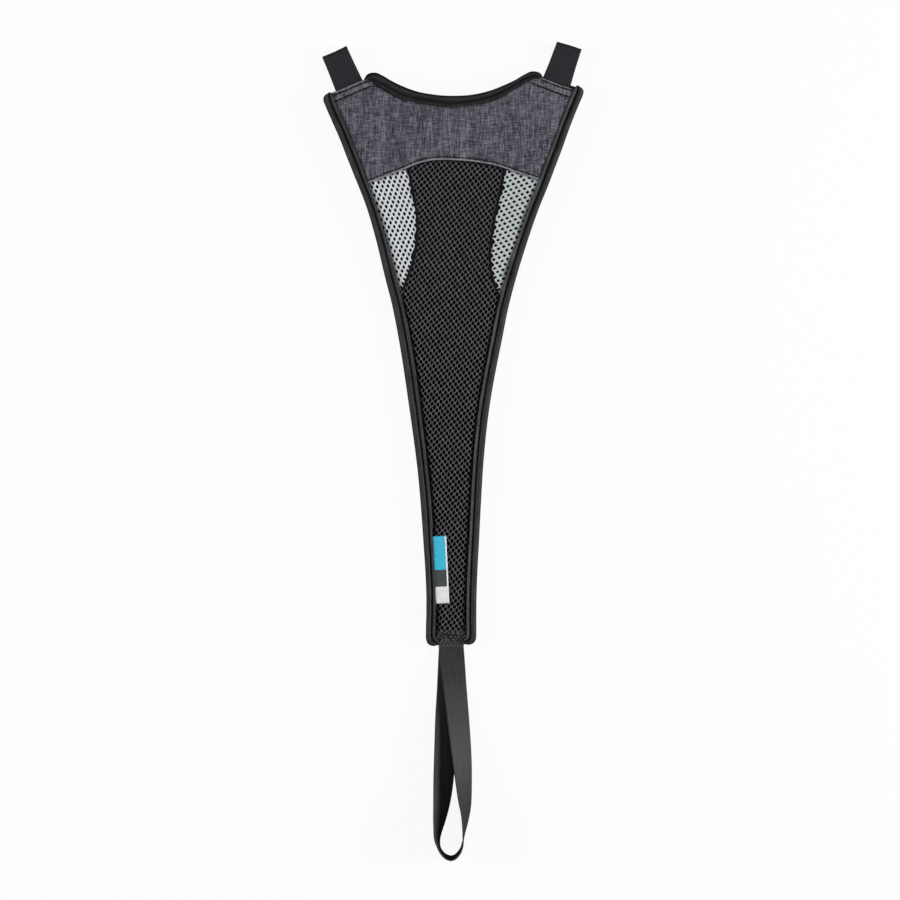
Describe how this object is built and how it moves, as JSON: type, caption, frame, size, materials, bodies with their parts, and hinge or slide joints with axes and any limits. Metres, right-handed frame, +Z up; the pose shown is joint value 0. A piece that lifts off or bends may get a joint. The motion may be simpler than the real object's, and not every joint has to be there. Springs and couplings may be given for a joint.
{
  "type": "bicycle sweat guard",
  "caption": "Long tapered padded bib for a bicycle on an indoor trainer: heather grey woven yoke, black air mesh body, bound edges, folded handlebar straps and a webbing seat post loop.",
  "frame": {"origin": "middle of the part's outline as it lies on its back, at the height of the surface that it lies on", "axes": "+Y from the seat post loop towards the handlebar straps, +Z up through the front face, +X to the right seen from the front"},
  "size_m": [0.208, 0.6494, 0.02],
  "materials": {
    "coated_lining": "smooth coated cloth",
    "wadding": "soft matte fibre",
    "black_mesh": "open knit with a slight sheen",
    "grey_mesh": "open knit, matte",
    "heather_cloth": "matte melange weave",
    "binding_tape": "soft tape with a slight sheen",
    "webbing": "ribbed weave with a slight sheen",
    "closure_patch": "hook and loop pile",
    "label_cloth": "satin woven label"
  },
  "bodies": {
    "root": {"back_lining": "coated_lining", "absorbent_core": "wadding", "centre_mesh": "black_mesh", "inset_mesh_left": "grey_mesh", "inset_mesh_right": "grey_mesh", "yoke_panel": "heather_cloth", "binding_left": "binding_tape", "binding_neck": "binding_tape", "binding_right": "binding_tape", "handlebar_strap_left": "webbing", "handlebar_strap_right": "webbing", "hook_patch_left": "closure_patch", "hook_patch_right": "closure_patch", "loop_patch_left": "closure_patch", "loop_patch_right": "closure_patch", "seatpost_loop": "webbing", "woven_label": "label_cloth"}
  },
  "joints": []
}
